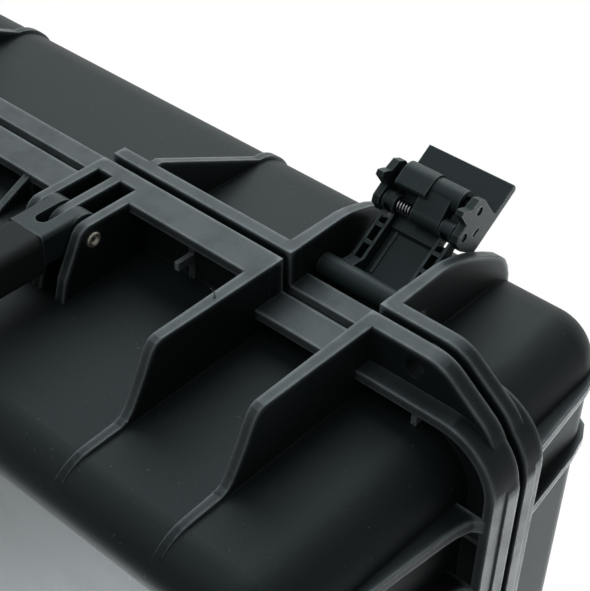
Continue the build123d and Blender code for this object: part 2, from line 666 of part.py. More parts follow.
def latch_lever():
    """The pull lever: outer plate, two cheeks with claws, and the eyes for both small pins."""
    half = LATCH_HALF
    top = LEVER_N + LEVER_T
    outline = [(LEVER_START, LEVER_N), (LEVER_END, LEVER_N), (LEVER_END, top - 0.8), (LEVER_END - 0.8, top)]
    outline += [(LEVER_START + 0.8, top), (LEVER_START, top - 0.8)]
    lever = latch_plate(outline, -half, half)
    cheek = [(LEVER_START, LEVER_N + 0.5), (24.0, 6.4), (24.2, 2.0), (26.0, 0.6), (CLAW_U, 0.5)]
    cheek += [(CLAW_U, CLAW_N), (CLAW_U + 1.5, CLAW_N - 0.6), (CLAW_U + 3.0, CLAW_N + 1.2)]
    cheek += [(CLAW_U + 4.0, -2.2), (38.2, -1.6)]
    cheek += [(40.0, 1.4), (40.2, LEVER_N - 1.0), (41.4, LEVER_N + 0.5)]
    lever += mirrored_plate(cheek, half - CHEEK_T, half)
    for u, n in (LEVER_PIN, CATCH_PIN):
        play = TURN_PLAY if (u, n) == LEVER_PIN else SEAT_PLAY
        lever -= latch_rod(SMALL_PIN_R + play, -half - 1, half + 1, u, n)
    slot = [(30.2, 7.6), (33.2, 7.6), (33.2, 8.8), (30.2, 8.8)]
    return lever - mirrored_plate(slot, half - CHEEK_T - 1, half + 1)


def latch_catch():
    """The sprung catch: a sleeve on the lever pin, a flat face and a barrel that rocks on the
    catch pin, its left half standing proud."""
    u, n = CATCH_PIN
    root_u, root_n = LEVER_PIN
    proud = CATCH_R + CATCH_PAD
    catch = latch_rod(CATCH_R, -CATCH_HALF, CATCH_HALF, u, n)
    catch += latch_rod(proud, -CATCH_HALF, 0.4, u, n)
    pad = [(31.4, n - proud + 0.5), (31.9, n - proud), (u, n - proud), (u, n), (31.4, n - 3.0)]
    catch += latch_plate(pad, -CATCH_HALF, 0.4)
    face = [(u, n - CATCH_R), (root_u, root_n - SLEEVE_R), (root_u, root_n + 1.2), (u, n + 3.0)]
    catch += latch_plate(face, *SLEEVE_X)
    catch += latch_rod(SLEEVE_R, *SLEEVE_X, root_u, root_n)
    catch -= latch_rod(SMALL_PIN_R + TURN_PLAY, -half_gap(), half_gap(), root_u, root_n)
    return catch - latch_rod(SMALL_PIN_R + CATCH_TRAVEL, -CATCH_HALF - 1, CATCH_HALF + 1, u, n)


def half_gap():
    """Half the width between the lever's cheeks."""
    return LATCH_HALF - CHEEK_T


def latch_spring():
    """The coil spring on the lever pin, beside the left lug."""
    u, n = LEVER_PIN
    x0, x1 = SPRING_X
    coil_r = SMALL_PIN_R + 0.25 + SPRING_WIRE / 2
    length = x1 - x0 - SPRING_WIRE
    pitch = length / SPRING_TURNS
    path = Helix(pitch, length, coil_r)
    start = path @ 0
    wire = sweep(Plane(origin=start, z_dir=path % 0) * Circle(SPRING_WIRE / 2), path=path)
    centre = (LATCH_X + x0 + SPRING_WIRE / 2, LATCH_PY - n, LATCH_PZ - u)
    print("spring gap between turns", round(pitch - SPRING_WIRE, 3))
    return Pos(*centre) * Rot(0, 90, 0) * wire


def latch_pins():
    """The three steel pins of the right-hand latch: pivot, lever pin and catch pin."""
    pivot = rod(PIN_R, RIB_1_X - RIB_T / 2, RIB_2_X + RIB_T / 2, LATCH_PY, LATCH_PZ)
    reach = LATCH_HALF - 0.4
    return {
        "latch_pivot_pin": pivot,
        "latch_lever_pin": opened(latch_rod(SMALL_PIN_R, -reach, reach, *LEVER_PIN)),
        "latch_catch_pin": opened(latch_rod(SMALL_PIN_R, -reach, reach, *CATCH_PIN)),
    }


def valve_at(shape):
    """A valve piece drawn on +Z, laid into the front wall with its face outwards."""
    seat_y = -WALL_Y + wall_at(VALVE_DROP) - 1.2
    return Pos(0, seat_y, BASE_H - VALVE_DROP) * Rot(90, 0, 0) * shape


def valve_body():
    """The valve's threaded stem and its inner flange."""
    stem = Pos(0, 0, -3.0) * Cylinder(VALVE_BORE_R, 14.0)
    flange = Pos(0, 0, -9.2) * Cylinder(VALVE_BORE_R + 3.0, 2.4)
    return valve_at(stem + flange - Pos(0, 0, -5) * Cylinder(2.0, 20.0))


def valve_knob():
    """The knurled knob that opens and shuts the valve."""
    knob = Pos(0, 0, VALVE_T / 2 + 1.4) * Cylinder(VALVE_R, VALVE_T)
    knob = fillet(knob.edges().sort_by(Axis.Z)[-1:], 1.2)
    flutes = [
        Rot(0, 0, 360 / VALVE_FLUTES * i) * Pos(VALVE_R + 0.35, 0, VALVE_T / 2) * Cylinder(0.95, VALVE_T + 10)
        for i in range(VALVE_FLUTES)
    ]
    knob -= Part() + flutes
    knob -= Pos(0, 0, 0) * Cylinder(VALVE_BORE_R + TURN_PLAY, 8.4)
    return valve_at(knob)


def valve_ring():
    """The rubber ring that the knob is screwed down on."""
    ring = Cylinder(VALVE_BORE_R + 3.0, 1.5) - Cylinder(VALVE_BORE_R + 0.1, 3.0)
    return valve_at(Pos(0, 0, 0.55) * ring)


def save(name, shape):
    """Write one node."""
    export_step(Part() + shape.solids(), f"parts/{name}.step")
    print(name, "solids", len(shape.solids()), "volume", round(shape.volume))


def main():
    """Build every node and write it."""
    os.makedirs("parts", exist_ok=True)
    core = handle_core()
    nodes = {
        "base_shell": base_shell(),
        "lid_shell": lid_shell(),
        "lid_gasket": gasket(),
        "base_foam_floor": base_foam_floor(),
        "base_foam_tray": base_foam_tray(),
        "lid_foam": lid_foam(),
        "handle_core": core,
        "handle_grip": handle_grip(core),
        "handle_pins": handle_pins(),
        "valve_body": valve_body(),
        "valve_knob": valve_knob(),
        "valve_ring": valve_ring(),
    }
    pairs = {"hinge_pin": hinge_pin(), **latch_pins()}
    pairs["latch_frame"] = opened(latch_frame())
    pairs["latch_lever"] = opened(latch_lever())
    pairs["latch_catch"] = opened(latch_catch())
    pairs["latch_spring"] = opened(latch_spring())
    for name, shape in pairs.items():
        nodes[f"{name}_right"] = shape
        nodes[f"{name}_left"] = mirror(shape, about=Plane.YZ)
    for name, shape in nodes.items():
        save(name, shape)


main()
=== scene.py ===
"""Looks of a moulded carrying case for a table-top sampler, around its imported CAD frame.

Metres, in the frame of the CAD: X along the front, Y from the front to the hinges, Z up.
"""

from __future__ import annotations

import logging
import math
from dataclasses import dataclass, field
from enum import Enum
from typing import Callable, Sequence

import bmesh
import bpy
import numpy as np
from mathutils import Matrix, Vector

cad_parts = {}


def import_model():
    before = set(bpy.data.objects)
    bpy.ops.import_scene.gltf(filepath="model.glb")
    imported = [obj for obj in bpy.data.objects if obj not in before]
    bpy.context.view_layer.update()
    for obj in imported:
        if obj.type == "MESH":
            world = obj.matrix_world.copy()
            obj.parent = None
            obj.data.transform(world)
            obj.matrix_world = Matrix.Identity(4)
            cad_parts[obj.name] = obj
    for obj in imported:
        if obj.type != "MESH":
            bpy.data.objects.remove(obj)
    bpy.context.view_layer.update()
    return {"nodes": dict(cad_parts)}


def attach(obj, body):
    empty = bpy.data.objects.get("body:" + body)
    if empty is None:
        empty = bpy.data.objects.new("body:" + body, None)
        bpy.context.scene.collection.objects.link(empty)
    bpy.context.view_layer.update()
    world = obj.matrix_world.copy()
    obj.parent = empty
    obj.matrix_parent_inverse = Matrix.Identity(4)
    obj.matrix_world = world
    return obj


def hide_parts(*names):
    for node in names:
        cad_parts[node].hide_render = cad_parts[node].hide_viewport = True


LOG = logging.getLogger("case")
MM = 0.001

PHOTO_WIDTH = 590  # pixels across the photograph
FAR_MM = 420.0  # surely outside every outline of the foam
POLE = 0.0001  # share of an outline that stands for its middle
DRAFT_DEG = 1.6  # lean of both shells' walls

Array = np.ndarray
Outline = Callable[[Array, Array], Array]
Socket = bpy.types.NodeSocket


class Side(Enum):
    """The two latches and what belongs to each, by the sign of X."""

    RIGHT = 1
    LEFT = -1

    @property
    def label(self) -> str:
        """The side's word in node and body names."""
        return self.name.lower()


def linear(hex_colour: str) -> tuple[float, float, float, float]:
    """Turn an sRGB hex colour into linear light.

    Args:
        hex_colour: six hex digits with a leading #.

    Returns:
        Red, green, blue and an alpha of 1, linear.
    """
    values = [int(hex_colour[i : i + 2], 16) / 255 for i in (1, 3, 5)]
    out = [v / 12.92 if v <= 0.04045 else ((v + 0.055) / 1.055) ** 2.4 for v in values]
    return (out[0], out[1], out[2], 1.0)


def add_node(
    tree: bpy.types.NodeTree,
    kind: str,
    settings: dict[str, object] | None = None,
    values: dict[str | int, object] | None = None,
    links: dict[str | int, Socket] | None = None,
) -> bpy.types.Node:
    """Add one shader node.

    Args:
        tree: the node tree.
        kind: the node's type name.
        settings: attributes of the node.
        values: default values of inputs, by name or index.
        links: sockets that feed inputs, by name or index.

    Returns:
        The new node.
    """
    node = tree.nodes.new(kind)
    for key, value in (settings or {}).items():
        setattr(node, key, value)
    for key, value in (values or {}).items():
        node.inputs[key].default_value = value
    for key, socket in (links or {}).items():
        tree.links.new(socket, node.inputs[key])
    return node


def new_material(name: str) -> tuple[bpy.types.Material, bpy.types.NodeTree, bpy.types.Node]:
    """Start a material with a Principled shader.

    Args:
        name: the material's name.

    Returns:
        The material, its node tree and its Principled node.
    """
    material = bpy.data.materials.new(name)
    material.use_nodes = True
    tree = material.node_tree
    tree.nodes.clear()
    shader = add_node(tree, "ShaderNodeBsdfPrincipled")
    add_node(tree, "ShaderNodeOutputMaterial", links={"Surface": shader.outputs[0]})
    return material, tree, shader


@dataclass(frozen=True)
class MouldedPlastic:
    """Injection-moulded polypropylene: dull spark-eroded walls, smoother rims and edges.

    Rims and ribs are the faces that get touched, so they are smoother; they and the outward edges
    are painted paler as a painted sheen, and their sharp edges carry a brighter painted highlight;
    hairline scuffs cross the walls.
    """

    name: str
    colour: str
    # paler colour of the rims and outward edges: a painted sheen
    smooth: str
    # colour of the hairline scuffs and of the painted highlight on sharp edges
    worn: str
    roughness: float = 0.58
    smooth_roughness: float = 0.38
    grain_mm: float = 0.55  # real grain is about 0.1 mm, drawn coarser so that it shows
    grain_depth_mm: float = 0.06
    wave_mm: float = 38.0  # sink and flow of the moulding
    wave_depth_mm: float = 0.35
    edge_mm: float = 0.75  # real edge radius
    rub_mm: float = 2.6  # width of the painted sheen strip along outward edges, which is also smoother
    patch_mm: float = 9.0  # size of the clouds in the painted sheen strips
    hair: tuple[float, float, float] = (900.0, 60.0, 900.0)  # scuffs per metre across, along, across
    hair_turn: tuple[float, float, float] = (0.3, 0.5, 0.9)
    # strength of the painted highlight on sharp edges
    wear: float = 1.0
    scuffs: float = 0.3
    ior: float = 1.49
    sheen_tint: str = "#e6f5f7"
    # whether the raised rims and low bands carry the painted sheen all over
    rims: bool = False
    front_rim_mm: tuple[float, float] = (155.0, 156.6)  # from the wall's reach to the low band's
    side_rim_mm: tuple[float, float] = (205.0, 206.6)
    bore_at_mm: tuple[float, float] = (176.0, 164.0)
    bore_clean_mm: tuple[float, float] = (4.2, 6.0)  # no painted sheen or highlight nearer, full painted sheen and highlight further

    def raised(self, tree: bpy.types.NodeTree, place: Socket, normal: Socket) -> Socket:
        """Find the rims: faces whose distance out along their own normal passes the wall's.

        Args:
            tree: the node tree.
            place: the object coordinates.
            normal: the face normal.

        Returns:
            A socket that is 1 on the rims and the low bands, and 0 on the walls.
        """
        both = add_node(tree, "ShaderNodeVectorMath", {"operation": "MULTIPLY"}, links={0: place, 1: normal})
        parts = add_node(tree, "ShaderNodeSeparateXYZ", links={0: both.outputs["Vector"]})
        front, side = (
            add_node(
                tree, "ShaderNodeMapRange", {"clamp": True},
                {"From Min": low * MM, "From Max": high * MM}, {"Value": parts.outputs[axis]},
            ).outputs["Result"]
            for axis, (low, high) in (("Y", self.front_rim_mm), ("X", self.side_rim_mm))
        )
        most = add_node(tree, "ShaderNodeMath", {"operation": "MAXIMUM"}, links={0: front, 1: side})
        return most.outputs["Value"]

    def unbored(self, tree: bpy.types.NodeTree, place: Socket) -> Socket:
        """Find the padlock bores, free of painted sheen and highlight, by distance from their axes in X and
        Y.

        Args:
            tree: the node tree.
            place: the object coordinates.

        Returns:
            A socket that is 0 in and round the bores, and 1 elsewhere.
        """
        folded = add_node(tree, "ShaderNodeVectorMath", {"operation": "ABSOLUTE"}, links={0: place})
        level = add_node(
            tree, "ShaderNodeVectorMath", {"operation": "MULTIPLY"}, {1: (1.0, 1.0, 0.0)},
            {0: folded.outputs["Vector"]},
        )
        bore_x, bore_y = self.bore_at_mm
        away = add_node(
            tree, "ShaderNodeVectorMath", {"operation": "DISTANCE"},
            {1: (bore_x * MM, bore_y * MM, 0.0)}, {0: level.outputs["Vector"]},
        )
        near, far = self.bore_clean_mm
        sheen_kept = add_node(
            tree, "ShaderNodeMapRange", {"clamp": True},
            {"From Min": near * MM, "From Max": far * MM}, {"Value": away.outputs["Value"]},
        )
        return sheen_kept.outputs["Result"]

    def build(self) -> bpy.types.Material:
        """Make the material."""
        material, tree, shader = new_material(self.name)
        place = add_node(tree, "ShaderNodeTexCoord").outputs["Object"]
        flat = add_node(tree, "ShaderNodeNewGeometry").outputs["Normal"]
        edge = add_node(tree, "ShaderNodeBevel", {"samples": 6}, {"Radius": self.edge_mm * MM})
        grain = add_node(
            tree, "ShaderNodeTexNoise", None,
            {"Scale": 1 / (self.grain_mm * MM), "Detail": 2.0, "Roughness": 0.6}, {"Vector": place},
        )
        wave = add_node(
            tree, "ShaderNodeTexNoise", None,
            {"Scale": 1 / (self.wave_mm * MM), "Detail": 2.0, "Roughness": 0.45}, {"Vector": place},
        )
        wavy = add_node(
            tree, "ShaderNodeBump", None, {"Strength": 1.0, "Distance": self.wave_depth_mm * MM},
            {"Height": wave.outputs["Fac"], "Normal": edge.outputs["Normal"]},
        )
        grainy = add_node(
            tree, "ShaderNodeBump", None, {"Strength": 1.0, "Distance": self.grain_depth_mm * MM},
            {"Height": grain.outputs["Fac"], "Normal": wavy.outputs["Normal"]},
        )
        tree.links.new(grainy.outputs["Normal"], shader.inputs["Normal"])
        buried = add_node(
            tree, "ShaderNodeAmbientOcclusion", {"samples": 8, "inside": True, "only_local": True},
            {"Distance": self.rub_mm * MM},
        )
        # Painted sheen: near convex edges the inside occlusion falls, and the colour turns paler
        outward = add_node(
            tree, "ShaderNodeMapRange", {"clamp": True},
            {"From Min": 0.94, "From Max": 0.62}, {"Value": buried.outputs["AO"]},
        )
        smoothed_and_sheen = outward.outputs["Result"]
        # the raised rims and low bands carry the painted sheen all over
        if self.rims:
            smoothed_and_sheen = add_node(
                tree, "ShaderNodeMath", {"operation": "MAXIMUM"},
                links={0: smoothed_and_sheen, 1: self.raised(tree, place, flat)},
            ).outputs["Value"]
        patch = add_node(
            tree, "ShaderNodeTexNoise", None,
            {"Scale": 1 / (self.patch_mm * MM), "Detail": 5.0, "Roughness": 0.7}, {"Vector": place},
        )
        patchy = add_node(
            tree, "ShaderNodeMapRange", {"clamp": True},
            {"From Min": 0.34, "From Max": 0.56, "To Min": 0.62, "To Max": 1.0},
            {"Value": patch.outputs["Fac"]},
        ).outputs["Result"]
        # no painted sheen or highlight in and round the padlock bores
        if self.rims:
            patchy = add_node(
                tree, "ShaderNodeMath", {"operation": "MULTIPLY"},
                links={0: patchy, 1: self.unbored(tree, place)},
            ).outputs["Value"]
        smoothed_and_sheen_patch = add_node(
            tree, "ShaderNodeMath", {"operation": "MULTIPLY"}, links={0: smoothed_and_sheen, 1: patchy}
        )
        # Painted highlight: a brighter line on the sharpest convex edges, in the scuff colour
        crest = add_node(
            tree, "ShaderNodeMapRange", {"clamp": True},
            {"From Min": 0.70, "From Max": 0.52, "To Min": 0.0, "To Max": self.wear},
            {"Value": buried.outputs["AO"]},
        )
        crest_patch = add_node(
            tree, "ShaderNodeMath", {"operation": "MULTIPLY"},
            links={0: crest.outputs["Result"], 1: patchy},
        )
        stretched = add_node(
            tree, "ShaderNodeMapping", None, {"Rotation": self.hair_turn, "Scale": self.hair},
            {"Vector": place},
        )
        hair = add_node(
            tree, "ShaderNodeTexNoise", None, {"Scale": 1.0, "Detail": 3.0, "Roughness": 0.5},
            {"Vector": stretched.outputs["Vector"]},
        )
        hairline = add_node(
            tree, "ShaderNodeMapRange", {"clamp": True},
            {"From Min": 0.70, "From Max": 0.78, "To Min": 0.0, "To Max": self.scuffs},
            {"Value": hair.outputs["Fac"]},
        )
        scuffs_and_edge_highlight = add_node(
            tree, "ShaderNodeMath", {"operation": "MAXIMUM"},
            links={0: hairline.outputs["Result"], 1: crest_patch.outputs["Value"]},
        )
        # the walls' colour, painted paler as a sheen on rims and edges
        base = add_node(
            tree, "ShaderNodeMix", {"data_type": "RGBA"},
            {"A": linear(self.colour), "B": linear(self.smooth)}, {"Factor": smoothed_and_sheen_patch.outputs["Value"]},
        )
        # the scuffs, and the painted edge highlight, in the scuff colour
        colour = add_node(
            tree, "ShaderNodeMix", {"data_type": "RGBA"}, {"B": linear(self.worn)},
            {"Factor": scuffs_and_edge_highlight.outputs["Value"], "A": base.outputs["Result"]},
        )
        tree.links.new(colour.outputs["Result"], shader.inputs["Base Color"])
        rough = add_node(
            tree, "ShaderNodeMapRange", None,
            {"To Min": self.roughness, "To Max": self.smooth_roughness},
            {"Value": smoothed_and_sheen_patch.outputs["Value"]},
        )
        tree.links.new(rough.outputs["Result"], shader.inputs["Roughness"])
        shader.inputs["IOR"].default_value = self.ior
        shader.inputs["Specular Tint"].default_value = linear(self.sheen_tint)
        return material


@dataclass(frozen=True)
class SoftRubber:
    """Thermoplastic elastomer or EPDM, matt: it scatters light and takes dust in its pores."""

    name: str
    colour: str
    dust: str
    roughness: float = 0.72
    ior: float = 1.5
    pore_mm: float = 0.7
    pore_depth_mm: float = 0.08
    edge_mm: float = 0.4
    haze_mm: float = 16.0  # size of the dusty clouds

    def build(self) -> bpy.types.Material:
        """Make the material."""
        material, tree, shader = new_material(self.name)
        place = add_node(tree, "ShaderNodeTexCoord").outputs["Object"]
        edge = add_node(tree, "ShaderNodeBevel", {"samples": 4}, {"Radius": self.edge_mm * MM})
        pore = add_node(
            tree, "ShaderNodeTexVoronoi", None, {"Scale": 1 / (self.pore_mm * MM)}, {"Vector": place}
        )
        bump = add_node(
            tree, "ShaderNodeBump", None, {"Strength": 0.25, "Distance": self.pore_depth_mm * MM},
            {"Height": pore.outputs["Distance"], "Normal": edge.outputs["Normal"]},
        )
        tree.links.new(bump.outputs["Normal"], shader.inputs["Normal"])
        haze = add_node(
            tree, "ShaderNodeTexNoise", None, {"Scale": 1 / (self.haze_mm * MM), "Detail": 4.0},
            {"Vector": place},
        )
        amount = add_node(
            tree, "ShaderNodeMapRange", {"clamp": True},
            {"From Min": 0.45, "From Max": 0.75, "To Min": 0.0, "To Max": 0.35},
            {"Value": haze.outputs["Fac"]},
        )
        colour = add_node(
            tree, "ShaderNodeMix", {"data_type": "RGBA"},
            {"A": linear(self.colour), "B": linear(self.dust)}, {"Factor": amount.outputs["Result"]},
        )
        tree.links.new(colour.outputs["Result"], shader.inputs["Base Color"])
        shader.inputs["Roughness"].default_value = self.roughness
        shader.inputs["IOR"].default_value = self.ior
        return material


@dataclass(frozen=True)
class DrawnSteel:
    """Cold-drawn steel wire or rod, zinc-bright: fine lines along X from the die, soft glints."""

    name: str
    colour: str
    stain: str
    roughness: float = 0.3
    line_mm: float = 0.12
    line_depth_mm: float = 0.02
    stretch: float = 0.04  # a line's width against its length
    spot_mm: float = 1.3  # size of the tarnished spots

    def build(self) -> bpy.types.Material:
        """Make the material."""
        material, tree, shader = new_material(self.name)
        place = add_node(tree, "ShaderNodeTexCoord").outputs["Object"]
        step = 1 / (self.line_mm * MM)
        drawn = add_node(
            tree, "ShaderNodeMapping", None, {"Scale": (step * self.stretch, step, step)}, {"Vector": place}
        )
        lines = add_node(
            tree, "ShaderNodeTexNoise", None, {"Scale": 1.0, "Detail": 2.0},
            {"Vector": drawn.outputs["Vector"]},
        )
        bump = add_node(
            tree, "ShaderNodeBump", None, {"Strength": 0.18, "Distance": self.line_depth_mm * MM},
            {"Height": lines.outputs["Fac"]},
        )
        tree.links.new(bump.outputs["Normal"], shader.inputs["Normal"])
        spots = add_node(
            tree, "ShaderNodeTexNoise", None, {"Scale": 1 / (self.spot_mm * MM), "Detail": 3.0},
            {"Vector": place},
        )
        amount = add_node(
            tree, "ShaderNodeMapRange", {"clamp": True},
            {"From Min": 0.5, "From Max": 0.72, "To Min": 0.0, "To Max": 0.6},
            {"Value": spots.outputs["Fac"]},
        )
        colour = add_node(
            tree, "ShaderNodeMix", {"data_type": "RGBA"},
            {"A": linear(self.colour), "B": linear(self.stain)}, {"Factor": amount.outputs["Result"]},
        )
        tree.links.new(colour.outputs["Result"], shader.inputs["Base Color"])
        shader.inputs["Metallic"].default_value = 1.0
        shader.inputs["Roughness"].default_value = self.roughness
        return material


@dataclass(frozen=True)
class CellFoam:
    """Open-cell polyurethane foam, cut: no gloss, painted shade in the tiny cells, slightly paler cut rims.
    """

    name: str
    colour: str
    cell: str
    cell_mm: float = 1.6  # real cells are about 0.6 mm, drawn coarser so that they show
    cell_depth_mm: float = 0.5
    blotch_mm: float = 25.0
    roughness: float = 0.95
    ior: float = 1.3

    def build(self) -> bpy.types.Material:
        """Make the material."""
        material, tree, shader = new_material(self.name)
        place = add_node(tree, "ShaderNodeTexCoord").outputs["Object"]
        cells = add_node(
            tree, "ShaderNodeTexVoronoi", {"feature": "F1"}, {"Scale": 1 / (self.cell_mm * MM)},
            {"Vector": place},
        )
        blotch = add_node(
            tree, "ShaderNodeTexNoise", None, {"Scale": 1 / (self.blotch_mm * MM), "Detail": 3.0},
            {"Vector": place},
        )
        # Painted shade in the cells: the colour darkens towards each cell's middle, where the bump sinks
        # deepest
        amount = add_node(
            tree, "ShaderNodeMapRange", {"clamp": True},
            {"From Min": 0.05, "From Max": 0.55, "To Min": 0.75, "To Max": 0.0},
            {"Value": cells.outputs["Distance"]},
        )
        pits = add_node(
            tree, "ShaderNodeMix", {"data_type": "RGBA"},
            {"A": linear(self.colour), "B": linear(self.cell)}, {"Factor": amount.outputs["Result"]},
        )
        colour = add_node(
            tree, "ShaderNodeMix", {"data_type": "RGBA", "blend_type": "MULTIPLY"}, {"Factor": 0.3},
            {"A": pits.outputs["Result"], "B": blotch.outputs["Color"]},
        )
        tree.links.new(colour.outputs["Result"], shader.inputs["Base Color"])
        bump = add_node(
            tree, "ShaderNodeBump", None, {"Strength": 0.8, "Distance": self.cell_depth_mm * MM},
            {"Height": cells.outputs["Distance"]},
        )
        tree.links.new(bump.outputs["Normal"], shader.inputs["Normal"])
        shader.inputs["Roughness"].default_value = self.roughness
        shader.inputs["IOR"].default_value = self.ior
        return material


def grid_mesh(name: str, points: Array, wrap_u: bool, wrap_v: bool) -> bpy.types.Object:
    """Make a mesh object from a grid of points, one quad between each four neighbours.

    Args:
        name: the piece's name.
        points: shape (u, v, 3), in millimetres.
        wrap_u: whether the last row joins the first.
        wrap_v: whether the last column joins the first.

    Returns:
        The object, at the origin, with its doubles merged and its faces pointing outwards.
    """
    count_u, count_v = points.shape[:2]
    rows = np.arange(count_u if wrap_u else count_u - 1)
    columns = np.arange(count_v if wrap_v else count_v - 1)
    row, column = np.meshgrid(rows, columns, indexing="ij")
    here = row * count_v
    beyond = (row + 1) % count_u * count_v
    next_column = (column + 1) % count_v
    quads = np.stack(
        [here + column, beyond + column, beyond + next_column, here + next_column], axis=-1
    ).reshape(-1, 4)
    mesh = bpy.data.meshes.new(name)
    mesh.from_pydata((points.reshape(-1, 3) * MM).tolist(), [], quads.tolist())
    piece = bpy.data.objects.new(name, mesh)
    bpy.context.scene.collection.objects.link(piece)
    tidy_mesh(piece)
    return piece


def tidy_mesh(piece: bpy.types.Object, merge_mm: float = 0.02) -> None:
    """Merge doubles, drop faces of no size, turn faces outwards and smooth a piece's mesh.

    Args:
        piece: the mesh object.
        merge_mm: how close points are merged.
    """
    work = bmesh.new()
    work.from_mesh(piece.data)
    bmesh.ops.remove_doubles(work, verts=work.verts, dist=merge_mm * MM)
    bmesh.ops.dissolve_degenerate(work, edges=work.edges, dist=merge_mm * MM)
    bmesh.ops.recalc_face_normals(work, faces=work.faces)
    work.to_mesh(piece.data)
    work.free()
    piece.data.shade_smooth()


def dress(piece: bpy.types.Object, material: bpy.types.Material, body: str) -> None:
    """Give a new piece its material and the body that it rides on."""
    piece.data.materials.clear()
    piece.data.materials.append(material)
    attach(piece, body)


def rounded_box_reach(x: Array, y: Array, half_x: float, half_y: float, corner: float) -> Array:
    """Signed distance to a rounded rectangle: how far past the box of the corner circles'
    middles a point lies, less the corner radius; negative inside."""
    qx = np.abs(x) - (half_x - corner)
    qy = np.abs(y) - (half_y - corner)
    outside = np.hypot(np.maximum(qx, 0), np.maximum(qy, 0))
    return outside + np.minimum(np.maximum(qx, qy), 0) - corner


def contour(distance: Outline, angles: Array) -> Array:
    """Find where rays from the middle of a star-shaped outline cross it, by halving.

    Args:
        distance: signed distance of points from the outline, negative inside.
        angles: directions of the rays, in radians.

    Returns:
        Points, shape (len(angles), 2).
    """
    low = np.zeros_like(angles)
    high = np.full_like(angles, FAR_MM)
    for _ in range(40):
        middle = (low + high) / 2
        inside = distance(middle * np.cos(angles), middle * np.sin(angles)) < 0
        low = np.where(inside, middle, low)
        high = np.where(inside, high, middle)
    return np.stack([low * np.cos(angles), low * np.sin(angles)], axis=-1)


